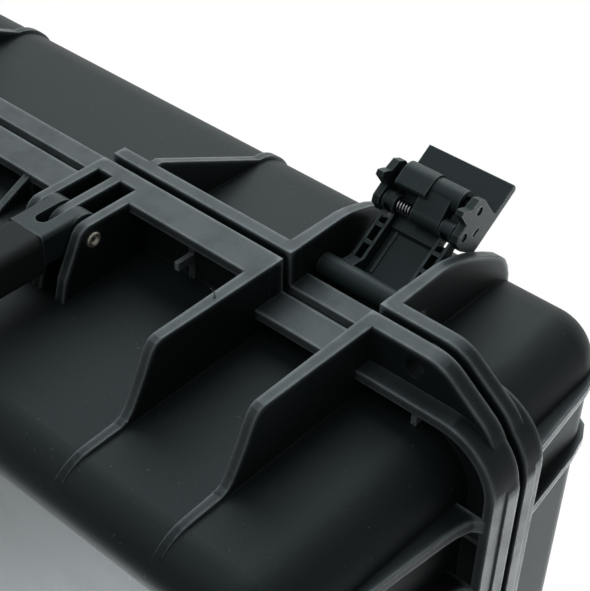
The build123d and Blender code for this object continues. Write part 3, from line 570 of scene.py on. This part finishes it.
@dataclass
class FoamSet:
    """The cut foam: floor pad, sampler ring, cable bay and the egg-crate pad of the lid."""

    material: bpy.types.Material
    half_x: float = 193.9
    half_y: float = 144.9
    tray_corner: float = 9.0
    pad_corner: float = 11.0
    floor_low: float = 3.7
    floor_top: float = 18.0
    floor_inset: float = 3.0
    ring_low: float = 18.7
    ring_top: float = 87.8
    ring_steps: int = 288
    split_x: float = 107.5
    hollow_mid_x: float = -38.0
    hollow_half: tuple[float, float] = (138.0, 108.0)
    hollow_corner: float = 14.0
    thumb_half: tuple[float, float] = (26.0, 130.0)
    thumb_floor: float = 45.0
    bay_mid_x: float = 146.0
    bay_half: tuple[float, float] = (29.0, 108.0)
    bay_floor: float = 30.4
    bay_step: float = 60.0
    slit: float = 0.2
    cut_round: float = 2.2
    round_steps: int = 4
    crate_pitch: float = 32.0
    crate_depth: float = 14.0
    crate_flat: float = 0.97  # share of the pad's outline where the wave has faded out
    crate_fade: float = 0.06
    lid_low: float = 126.2
    lid_high: float = 155.3
    lid_inset: float = 2.4
    pad_steps: int = 320
    pad_rings: int = 78
    draft: float = math.tan(math.radians(DRAFT_DEG))

    def ring(
        self,
        name: str,
        outer: Outline,
        inner_low: Outline,
        inner_high: Outline,
        centre: tuple[float, float],
        floor: float | None,
        step_z: float,
    ) -> bpy.types.Object:
        """Carry a wall profile round a hollow; each cut edge is a small quarter circle.

        Args:
            name: the piece's name.
            outer: signed distance of the outer outline, about the hollow's centre.
            inner_low: the hollow below the step.
            inner_high: the hollow above the step.
            centre: the hollow's centre, X and Y.
            floor: top of the hollow's floor, or None where it goes through.
            step_z: height of the step between the two hollows.

        Returns:
            The closed piece.
        """
        angles = np.linspace(0, 2 * math.pi, self.ring_steps, endpoint=False)
        out, low, high = (contour(outline, angles) for outline in (outer, inner_low, inner_high))
        r = self.cut_round
        turn = np.linspace(0, math.pi / 2, self.round_steps)

        def level(points: Array, shift: float, z: float) -> Array:
            """Move an outline in by shift towards the centre and place it at height z."""
            size = np.linalg.norm(points, axis=1, keepdims=True)
            moved = points * (1 - shift / size)
            return np.concatenate([moved, np.full((len(points), 1), z)], axis=1)

        taper = (self.ring_top - self.ring_low) * self.draft
        rows = [level(out, taper + r, self.ring_low), level(out, taper, self.ring_low + r)]
        rows += [level(out, taper * 0.5, (self.ring_low + self.ring_top) / 2)]
        rows += [level(out, r * (1 - math.cos(t)), self.ring_top - r + r * math.sin(t)) for t in turn]
        rows += [level(high, -r * (1 - math.sin(t)), self.ring_top - r + r * math.cos(t)) for t in turn]
        rows += [level(high, 0.0, z) for z in ((self.ring_top + step_z) / 2, step_z)]
        rows += [level(low, 0.0, step_z)]
        if floor is None:
            rows += [level(low, 0.0, (step_z + self.ring_low) / 2), level(low, 0.0, self.ring_low)]
            grid = np.stack(rows, axis=1)
            grid[..., :2] += np.array(centre)
            return grid_mesh(name, grid, True, True)
        rows += [level(low, 0.0, floor + 1.0), level(low, 1.0, floor)]
        shares = (POLE, 0.02, 0.5)
        rows += [level(low * share, 0.0, floor) for share in shares[::-1]]
        under = [level(out * share, 0.0, self.ring_low) for share in shares]
        grid = np.stack(under + rows, axis=1)
        grid[..., :2] += np.array(centre)
        return grid_mesh(name, grid, True, False)

    def build_base(self) -> list[bpy.types.Object]:
        """Build the floor pad, the ring round the sampler and the bay for the cables."""
        mid = self.hollow_mid_x
        left_half = (self.split_x + self.half_x) / 2
        left_mid = self.split_x - left_half

        def ring_outer(x: Array, y: Array) -> Array:
            """Outer outline of the sampler ring, about the hollow's centre."""
            return rounded_box_reach(x + mid - left_mid, y, left_half, self.half_y, self.tray_corner)

        def hollow(x: Array, y: Array) -> Array:
            """The sampler's hollow."""
            return rounded_box_reach(x, y, *self.hollow_half, self.hollow_corner)

        def thumbs(x: Array, y: Array) -> Array:
            """The hollow together with its two finger cut-outs."""
            slot = rounded_box_reach(x, y, *self.thumb_half, self.thumb_half[0] - 0.5)
            return np.minimum(hollow(x, y), slot)

        ring = self.ring("foam_sampler_ring", ring_outer, hollow, thumbs, (mid, 0.0), None, self.thumb_floor)
        bay_half_x = (self.half_x - self.split_x) / 2 - self.slit
        bay_mid = self.half_x - bay_half_x

        def bay_outer(x: Array, y: Array) -> Array:
            """Outer outline of the cable bay, about its hollow's centre."""
            shift = self.bay_mid_x - bay_mid
            return rounded_box_reach(x + shift, y, bay_half_x, self.half_y, self.tray_corner)

        def bay(x: Array, y: Array) -> Array:
            """The cable bay's hollow."""
            return rounded_box_reach(x, y, *self.bay_half, self.hollow_corner)

        centre = (self.bay_mid_x, 0.0)
        box = self.ring("foam_cable_bay", bay_outer, bay, bay, centre, self.bay_floor, self.bay_step)
        return [ring, box]

    def build_pad(
        self, name: str, low: float, high: float, inset: float, low_wave: float
    ) -> bpy.types.Object:
        """Build a pad from nested outlines; its underside may carry the egg-crate wave.

        The wave is cos(x) times cos(y) at the crate's pitch, faded out at the pad's rim.

        Args:
            name: the piece's name.
            low: underside height.
            high: top height.
            inset: how far the sides stand in from the foam's full outline.
            low_wave: depth of the wave in the underside.

        Returns:
            The closed piece.
        """
        angles = np.linspace(0, 2 * math.pi, self.pad_steps, endpoint=False)

        def outline(x: Array, y: Array) -> Array:
            """The pad's outline."""
            return rounded_box_reach(x, y, self.half_x - inset, self.half_y - inset, self.pad_corner)

        edge = contour(outline, angles)
        rim_share = (1 + self.crate_flat) / 2
        shares = np.concatenate([np.linspace(POLE, self.crate_flat, self.pad_rings), [rim_share]])

        def face(height: float, wave: float) -> Array:
            """A face as nested outlines, from its middle to near its rim."""
            flat = edge[:, None, :] * shares[None, :, None]
            swing = np.cos(2 * math.pi * flat / self.crate_pitch).prod(axis=-1)
            fade = np.clip((self.crate_flat - shares) / self.crate_fade, 0, 1)[None, :]
            z = height + wave * fade * (0.5 - 0.5 * swing)
            return np.concatenate([flat, z[..., None]], axis=-1)

        under = face(low, low_wave)
        over = face(high, 0.0)[:, ::-1]
        r = self.cut_round
        turn = np.linspace(0, math.pi / 2, self.round_steps)
        size = np.linalg.norm(edge, axis=1, keepdims=True)

        def rim(shift: float, z: float) -> Array:
            """The outline moved in by shift at height z."""
            return np.concatenate([edge * (1 - shift / size), np.full((len(edge), 1), z)], axis=1)

        side = [rim(r * (1 - math.sin(t)), low + r * (1 - math.cos(t))) for t in turn]
        side += [rim(r * (1 - math.cos(t)), high - r + r * math.sin(t)) for t in turn]
        grid = np.concatenate([under, np.stack(side, axis=1), over], axis=1)
        return grid_mesh(name, grid, True, False)

    def build(self) -> list[str]:
        """Build and dress every foam piece, and hide the CAD foam nodes."""
        ring, bay = self.build_base()
        floor = self.build_pad("foam_floor_pad", self.floor_low, self.floor_top, self.floor_inset, 0.0)
        lid = self.build_pad("foam_lid_crate", self.lid_low, self.lid_high, self.lid_inset, self.crate_depth)
        for piece, body in ((ring, "base"), (bay, "base"), (floor, "base"), (lid, "lid")):
            dress(piece, self.material, body)
        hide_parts("base_foam_tray")
        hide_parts("base_foam_tray")
        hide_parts("base_foam_floor")
        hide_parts("lid_foam")
        return [piece.name for piece in (ring, bay, floor, lid)]


@dataclass
class LidGussets:
    """The lid's moulding, finished: a straight gusset stands on the wall beside each handle arm.

    The CAD solid has a slanting rib there, which is planed off down to the wall. The gusset stands
    square to X, from the rim's front edge up to the lid's rounded edge, and runs over it.
    """

    source: bpy.types.Object
    material: bpy.types.Material
    x_mm: float = 62.6
    thick_mm: float = 3.2
    proud_mm: float = 1.2
    front_mm: float = -170.0
    foot_z: float = 96.9  # top of the raised rim
    band_y: float = -158.0
    band_z: float = 100.4
    wall_y: float = -149.0
    wall_z: float = 92.2
    top_z: float = 159.0
    edge_r: float = 15.0
    lean: float = math.tan(math.radians(DRAFT_DEG))
    root_mm: float = 1.6  # how deep it stands in the wall and the lid's roof
    sunk_mm: float = 1.2  # how deep it stands in the raised rim
    cut_span: tuple[float, float] = (56.0, 112.0)
    cut_top: float = 143.0
    cut_room: float = 3.0
    skin_mm: float = 0.004  # left on the wall, so that the cut's faces don't lie in the wall's
    crease_deg: float = 26.0

    def wall_at(self, z: float) -> float:
        """Y of the drafted wall at height z."""
        return self.wall_y + self.lean * (z - self.wall_z)

    def cut_outline(self) -> list[tuple[float, float]]:
        """The space in front of the wall and above the rim and the low band, as (y, z)."""
        out = self.front_mm - self.cut_room
        return [
            (out, self.foot_z + self.skin_mm),
            (self.band_y - self.skin_mm, self.foot_z + self.skin_mm),
            (self.band_y - self.skin_mm, self.band_z + self.skin_mm),
            (self.wall_at(self.band_z) - self.skin_mm, self.band_z + self.skin_mm),
            (self.wall_at(self.cut_top) - self.skin_mm, self.cut_top),
            (out, self.cut_top),
        ]

    def gusset_outline(self) -> list[tuple[float, float]]:
        """The gusset's side view as (y, z): a straight front, then an arc over the lid's edge."""
        centre_z = self.top_z - self.edge_r
        centre_y = self.wall_at(centre_z) + self.edge_r * math.hypot(1.0, self.lean)
        reach = self.edge_r + self.proud_mm
        last = math.asin((self.edge_r - 0.02) / reach)
        turn = np.linspace(0.02, last, 12)
        arc = [(centre_y - reach * math.cos(t), centre_z + reach * math.sin(t)) for t in turn]
        inside = self.wall_at(centre_z) + self.root_mm
        return [
            (self.front_mm, self.foot_z - self.sunk_mm),
            (self.front_mm, self.foot_z + 2 * self.sunk_mm),
            *arc,
            (centre_y - 1.5, self.top_z - 0.05),
            (centre_y - 1.5, self.top_z - self.root_mm),
            (inside + 4.0, self.top_z - 8.0),
            (inside, centre_z - 2.0),
            (self.wall_at(self.foot_z) + self.root_mm, self.foot_z - self.sunk_mm),
        ]

    def prism(
        self, name: str, outline: Sequence[tuple[float, float]], x0: float, x1: float
    ) -> bpy.types.Object:
        """Carry an outline in the YZ plane from x0 to x1."""
        count = len(outline)
        points = [(x * MM, y * MM, z * MM) for x in (x0, x1) for y, z in outline]
        faces = [tuple(range(count)), tuple(range(2 * count - 1, count - 1, -1))]
        faces += [(i, i + count, (i + 1) % count + count, (i + 1) % count) for i in range(count)]
        mesh = bpy.data.meshes.new(name)
        mesh.from_pydata(points, [], faces)
        body = bpy.data.objects.new(name, mesh)
        bpy.context.scene.collection.objects.link(body)
        work = bmesh.new()
        work.from_mesh(mesh)
        bmesh.ops.recalc_face_normals(work, faces=work.faces)
        work.to_mesh(mesh)
        work.free()
        return body

    def settle(self, piece: bpy.types.Object) -> None:
        """Make a piece's modifiers part of its mesh."""
        graph = bpy.context.evaluated_depsgraph_get()
        done = bpy.data.meshes.new_from_object(piece.evaluated_get(graph))
        piece.modifiers.clear()
        piece.data = done

    def combine(self, piece: bpy.types.Object, tool: bpy.types.Object, operation: str) -> None:
        """Cut or join a piece with a tool body, then drop the tool."""
        step = piece.modifiers.new(operation.lower(), "BOOLEAN")
        step.operation = operation
        step.solver = "EXACT"
        step.object = tool
        self.settle(piece)
        bpy.data.objects.remove(tool, do_unlink=True)

    def build(self) -> list[str]:
        """Build the finished lid shell in place of its CAD solid."""
        piece = bpy.data.objects.new("lid_moulding", self.source.data.copy())
        bpy.context.scene.collection.objects.link(piece)
        custom = piece.data.attributes.get("custom_normal")
        if custom is not None:
            piece.data.attributes.remove(custom)
        tidy_mesh(piece, merge_mm=0.0005)
        half = self.thick_mm / 2
        for side in Side:
            x0, x1 = sorted(side.value * x for x in self.cut_span)
            self.combine(piece, self.prism("lid_cut", self.cut_outline(), x0, x1), "DIFFERENCE")
            middle = side.value * self.x_mm
            gusset = self.prism("lid_gusset", self.gusset_outline(), middle - half, middle + half)
            self.combine(piece, gusset, "UNION")
        piece.data.shade_smooth()
        piece.data.set_sharp_from_angle(angle=math.radians(self.crease_deg))
        weigh = piece.modifiers.new("weigh_normals", "WEIGHTED_NORMAL")
        weigh.keep_sharp = True
        self.settle(piece)
        dress(piece, self.material, "lid")
        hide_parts("lid_shell")
        return [piece.name]


@dataclass
class MouldFlash:
    """Wisps of moulding flash on the ribs: thin curled ribbons, thicker at the root."""

    material: bpy.types.Material
    steps: int = 14
    sides: int = 6
    curl: float = 2.2  # radians from root to tip
    curl_share: float = 0.35  # radius of the curl against the length
    out_share: float = 0.75  # how far it leaves the rib against the length
    width_mm: float = 0.42
    flatness: float = 0.35
    spots: Sequence[tuple[float, float, float, float, float]] = field(
        default_factory=lambda: (
            (121.5, -169.9, 63.0, 3.2, 0.4),
            (119.4, -166.2, 37.2, 2.6, 2.1),
            (156.6, -165.4, 36.4, 2.2, 1.0),
            (158.9, -150.3, 24.2, 2.6, 2.8),
            (123.6, -150.0, 26.1, 1.8, 4.0),
        )
    )

    def wisp(self, index: int, spot: tuple[float, float, float, float, float]) -> bpy.types.Object:
        """Carry a shrinking flat oval along a curl.

        The path is a helix arc that leaves the rib along -Y; the width falls as the square root
        of what is left of the path.

        Args:
            index: number in the piece's name.
            spot: root X, Y, Z, length and starting angle.

        Returns:
            The closed ribbon.
        """
        x, y, z, length, start = spot
        t = np.linspace(0.0, 1.0, self.steps)[:, None]
        turn = start + self.curl * t
        bow = length * self.curl_share
        path_x = x + bow * (np.cos(turn) - np.cos(start))
        path_y = y - length * self.out_share * t**0.8
        path_z = z + bow * (np.sin(turn) - np.sin(start))
        around = np.linspace(0, 2 * math.pi, self.sides, endpoint=False)[None, :]
        width = self.width_mm * np.sqrt(1.001 - t)
        oval_x = width * np.cos(around)
        oval_z = self.flatness * width * np.sin(around)
        grid = np.stack([path_x + oval_x, path_y + 0.2 * oval_x, path_z + oval_z], axis=-1)
        cap, tip = (
            np.repeat(end.mean(axis=1, keepdims=True), self.sides, axis=1) for end in (grid[:1], grid[-1:])
        )
        return grid_mesh(f"mould_flash_{index}", np.concatenate([cap, grid, tip]), False, True)

    def build(self) -> list[str]:
        """Build the wisps on the base shell."""
        names = []
        for index, spot in enumerate(self.spots):
            piece = self.wisp(index, spot)
            dress(piece, self.material, "base")
            names.append(piece.name)
        return names


@dataclass
class PinHeads:
    """The rolled heads that hold the handle pins in the outer ears: a domed ring round a hollow."""

    material: bpy.types.Material
    at_mm: tuple[float, float, float] = (72.32, -164.6, 62.5)  # end of the pin in the outer ear
    proud_mm: float = 0.3
    segments: int = 40
    profile: Sequence[tuple[float, float]] = (
        (0.05, -0.35), (0.9, -0.35), (1.15, 0.1), (1.4, 0.42), (1.8, 0.62),
        (2.2, 0.55), (2.55, 0.28), (2.65, -0.1), (2.2, -0.3), (0.05, -0.38),
    )

    def build(self) -> list[str]:
        """Turn the profile, given as radius and height in millimetres, round each pin's axis."""
        turn = np.linspace(0, 2 * math.pi, self.segments, endpoint=False)[:, None]
        radius, height = np.array(self.profile).T
        x, y, z = self.at_mm
        names = []
        for side in Side:
            out = side.value * (x + self.proud_mm + np.broadcast_to(height, (self.segments, len(height))))
            grid = np.stack([out, y + radius * np.cos(turn), z + radius * np.sin(turn)], axis=-1)
            piece = grid_mesh(f"handle_pin_head_{side.label}", grid, True, False)
            dress(piece, self.material, "base")
            names.append(piece.name)
        return names


@dataclass
class Finishes:
    """Every finish of the case, made once."""

    shell: bpy.types.Material = field(init=False)
    latch: bpy.types.Material = field(init=False)
    valve: bpy.types.Material = field(init=False)
    grip: bpy.types.Material = field(init=False)
    seal: bpy.types.Material = field(init=False)
    foam: bpy.types.Material = field(init=False)
    pin: bpy.types.Material = field(init=False)
    dark_pin: bpy.types.Material = field(init=False)
    head: bpy.types.Material = field(init=False)
    spring: bpy.types.Material = field(init=False)

    def __post_init__(self) -> None:
        """Make the materials."""
        self.shell = MouldedPlastic(
            "moulded_polypropylene_shell", "#1a2122", "#464e51", "#a3acaf", rims=True
        ).build()
        self.latch = MouldedPlastic(
            "moulded_nylon_latch", "#2f3a3b", "#3f4a4c", "#707a7d",
            roughness=0.5, grain_mm=0.4, edge_mm=0.3, rub_mm=0.8,
        ).build()
        self.valve = MouldedPlastic(
            "moulded_abs_valve_knob", "#8d9496", "#a5abad", "#c3c8ca", edge_mm=0.25, rub_mm=0.8, scuffs=0.2
        ).build()
        self.grip = SoftRubber("moulded_elastomer_grip", "#1d2324", "#3c4446").build()
        self.seal = SoftRubber(
            "extruded_silicone_seal", "#2b2c2e", "#55585a", roughness=0.6, edge_mm=0.3
        ).build()
        self.foam = CellFoam("cut_polyurethane_foam", "#3d4043", "#141517").build()
        self.pin = DrawnSteel("drawn_zinc_plated_pin", "#c9c9c4", "#8f8a80").build()
        self.head = DrawnSteel("rolled_steel_pin_head", "#f1ece0", "#c9bfa8", roughness=0.5).build()
        self.dark_pin = DrawnSteel("blackened_steel_pin", "#3b3f40", "#1e2021", roughness=0.45).build()
        self.spring = DrawnSteel("drawn_spring_wire", "#e4e6e8", "#b4b6b8", roughness=0.2).build()


@dataclass
class CadDress:
    """Hands the finishes out to the nodes that keep their CAD shape."""

    nodes: dict[str, bpy.types.Object]
    finishes: Finishes

    def finish_of(self, name: str) -> bpy.types.Material:
        """The finish of a node, by what it is."""
        if "spring" in name:
            return self.finishes.spring
        if name.startswith(("latch_lever_pin", "latch_catch_pin")):
            return self.finishes.dark_pin
        if "pin" in name:
            return self.finishes.pin
        if name.startswith("latch") or name in ("handle_core", "valve_body"):
            return self.finishes.latch
        by_name = {
            "handle_grip": self.finishes.grip,
            "valve_knob": self.finishes.valve,
            "valve_ring": self.finishes.seal,
            "lid_gasket": self.finishes.seal,
        }
        return by_name.get(name, self.finishes.shell)

    def build(self) -> list[str]:
        """Assign the finishes."""
        for name, node in self.nodes.items():
            material = self.finish_of(name)
            node.data.materials.clear()
            node.data.materials.append(material)
        return sorted(self.nodes)


@dataclass
class Studio:
    """Camera, lamps, backdrop and floor."""

    centre_mm: tuple[float, float, float] = (328.9, -416.9, -148.4)
    right: tuple[float, float, float] = (0.74925, -0.02689, 0.66174)
    down: tuple[float, float, float] = (0.43787, 0.76974, -0.4645)
    forward: tuple[float, float, float] = (-0.49688, 0.63779, 0.5885)
    sensor: float = 36.0
    lens: float = 85.42
    shift_y: float = -1.5 / PHOTO_WIDTH
    target: tuple[float, float, float] = (0.13, -0.15, 0.08)
    lamp_colour: str = "#f6fdff"
    ambient: float = 0.07
    dim_gloss: float = 0.2  # strength of the world in gloss that faces away from the backdrop
    floor_colour: str = "#f4f4f4"
    floor_glow: float = 0.38  # how much of the white backdrop the floor shows under the case
    floor_fade: tuple[float, float] = (0.4, 2.4)  # metres from the middle to full white
    floor_reach: float = 6.0
    floor_z: float = -0.0006

    def build_camera(self) -> None:
        """Set the camera that the photograph was taken with, found from the case's straight edges."""
        data = bpy.data.cameras.new("camera")
        data.sensor_fit = "HORIZONTAL"
        data.sensor_width = self.sensor
        data.lens = self.lens
        data.shift_y = self.shift_y
        data.clip_start = 0.01
        data.clip_end = 50.0
        camera = bpy.data.objects.new("camera", data)
        axes = Matrix((self.right, [-v for v in self.down], [-v for v in self.forward])).transposed()
        camera.matrix_world = Matrix.Translation(Vector(self.centre_mm) * MM) @ axes.to_4x4()
        bpy.context.scene.collection.objects.link(camera)
        bpy.context.scene.camera = camera

    def lamp(self, name: str, place: Sequence[float], size: float, watts: float) -> None:
        """Add a square softbox that faces the target.

        Args:
            name: the lamp's name.
            place: where it stands, in metres.
            size: side length in metres.
            watts: its power.
        """
        data = bpy.data.lights.new(name, "AREA")
        data.shape = "SQUARE"
        data.size = size
        data.energy = watts
        data.color = linear(self.lamp_colour)[:3]
        lamp = bpy.data.objects.new(name, data)
        way = Vector(self.target) - Vector(place)
        turn = way.to_track_quat("-Z", "Y").to_matrix().to_4x4()
        lamp.matrix_world = Matrix.Translation(Vector(place)) @ turn
        bpy.context.scene.collection.objects.link(lamp)

    def build_lamps(self) -> None:
        """Light as in the photograph: a large soft lamp from its upper left, weak fill from the rest."""
        self.lamp("key", (-0.55, -1.26, 1.0), 1.3, 10.5)
        self.lamp("camera_side", (-0.15, -1.3, -0.55), 0.9, 2.2)
        self.lamp("under_back", (-0.5, 1.3, -0.42), 0.6, 20.0)
        self.lamp("over_back", (0.3, 1.3, 1.5), 1.2, 9.0)

    def build_world(self) -> None:
        """A dim neutral world for light, white where the camera, metal or glass sees it."""
        world = bpy.data.worlds.new("studio_world")
        bpy.context.scene.world = world
        world.use_nodes = True
        tree = world.node_tree
        tree.nodes.clear()
        path = add_node(tree, "ShaderNodeLightPath")
        way = add_node(tree, "ShaderNodeTexCoord").outputs["Generated"]
        behind = add_node(
            tree, "ShaderNodeVectorMath", {"operation": "DOT_PRODUCT"}, {1: self.forward}, {0: way}
        )
        backdrop = add_node(
            tree, "ShaderNodeMapRange", {"clamp": True},
            {"From Min": -0.1, "From Max": 0.7, "To Min": self.dim_gloss, "To Max": 1.0},
            {"Value": behind.outputs["Value"]},
        )
        seen = add_node(
            tree, "ShaderNodeMath", {"operation": "MAXIMUM"},
            links={0: path.outputs["Is Camera Ray"], 1: path.outputs["Is Transmission Ray"]},
        )
        gloss = add_node(
            tree, "ShaderNodeMath", {"operation": "MULTIPLY"},
            links={0: path.outputs["Is Glossy Ray"], 1: backdrop.outputs["Result"]},
        )
        most = add_node(
            tree, "ShaderNodeMath", {"operation": "MAXIMUM"}, links={0: seen.outputs[0], 1: gloss.outputs[0]}
        )
        strength = add_node(
            tree, "ShaderNodeMath", {"operation": "MAXIMUM"}, {1: self.ambient}, {0: most.outputs[0]}
        )
        sky = add_node(
            tree, "ShaderNodeBackground", None, {"Color": (1, 1, 1, 1)},
            {"Strength": strength.outputs["Value"]},
        )
        add_node(tree, "ShaderNodeOutputWorld", links={"Surface": sky.outputs[0]})

    def build_floor(self) -> None:
        """A pale floor under the case, seen from above only, because the photograph looks from below.

        It keeps the case's shadow and fades into the white backdrop with the distance.
        """
        mesh = bpy.data.meshes.new("studio_floor")
        reach = self.floor_reach
        corners = [(x * reach, y * reach, self.floor_z) for x, y in ((-1, -1), (1, -1), (1, 1), (-1, 1))]
        mesh.from_pydata(corners, [], [(0, 1, 2, 3)])
        floor = bpy.data.objects.new("studio_floor", mesh)
        bpy.context.scene.collection.objects.link(floor)
        material = bpy.data.materials.new("studio_floor_paint")
        material.use_nodes = True
        tree = material.node_tree
        tree.nodes.clear()
        geometry = add_node(tree, "ShaderNodeNewGeometry")
        place = add_node(tree, "ShaderNodeTexCoord").outputs["Object"]
        away = add_node(tree, "ShaderNodeVectorMath", {"operation": "LENGTH"}, links={0: place})
        near, far = self.floor_fade
        glow = add_node(
            tree, "ShaderNodeMapRange", {"clamp": True},
            {"From Min": near, "From Max": far, "To Min": self.floor_glow, "To Max": 1.0},
            {"Value": away.outputs["Value"]},
        )
        path = add_node(tree, "ShaderNodeLightPath")
        seen = add_node(
            tree, "ShaderNodeMath", {"operation": "MULTIPLY"},
            links={0: path.outputs["Is Camera Ray"], 1: glow.outputs["Result"]},
        )
        pale = add_node(tree, "ShaderNodeEmission", links={"Strength": seen.outputs["Value"]})
        matt = add_node(tree, "ShaderNodeBsdfDiffuse", None, {"Color": linear(self.floor_colour)})
        paint = add_node(tree, "ShaderNodeAddShader", links={0: matt.outputs[0], 1: pale.outputs[0]})
        clear = add_node(tree, "ShaderNodeBsdfTransparent")
        mix = add_node(
            tree, "ShaderNodeMixShader",
            links={0: geometry.outputs["Backfacing"], 1: paint.outputs[0], 2: clear.outputs[0]},
        )
        add_node(tree, "ShaderNodeOutputMaterial", links={"Surface": mix.outputs[0]})
        mesh.materials.append(material)
        floor.visible_diffuse = False
        floor.visible_glossy = False
        floor.visible_shadow = False

    def build(self) -> None:
        """Build the whole studio."""
        bpy.context.scene.view_settings.view_transform = "Standard"
        self.build_camera()
        self.build_lamps()
        self.build_world()
        self.build_floor()


def main() -> None:
    """Load the frame, dress it, build the scene's own pieces and the studio."""
    logging.basicConfig(level=logging.INFO, format="%(name)s %(message)s")
    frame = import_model()
    finishes = Finishes()
    for label, names in (
        ("dressed", CadDress(frame["nodes"], finishes).build()),
        ("foam", FoamSet(finishes.foam).build()),
        ("lid", LidGussets(frame["nodes"]["lid_shell"], finishes.shell).build()),
        ("flash", MouldFlash(finishes.shell).build()),
        ("pin head", PinHeads(finishes.head).build()),
    ):
        for name in names:
            LOG.info("%s %s", label, name)
    Studio().build()


if __name__ == "__main__":
    main()
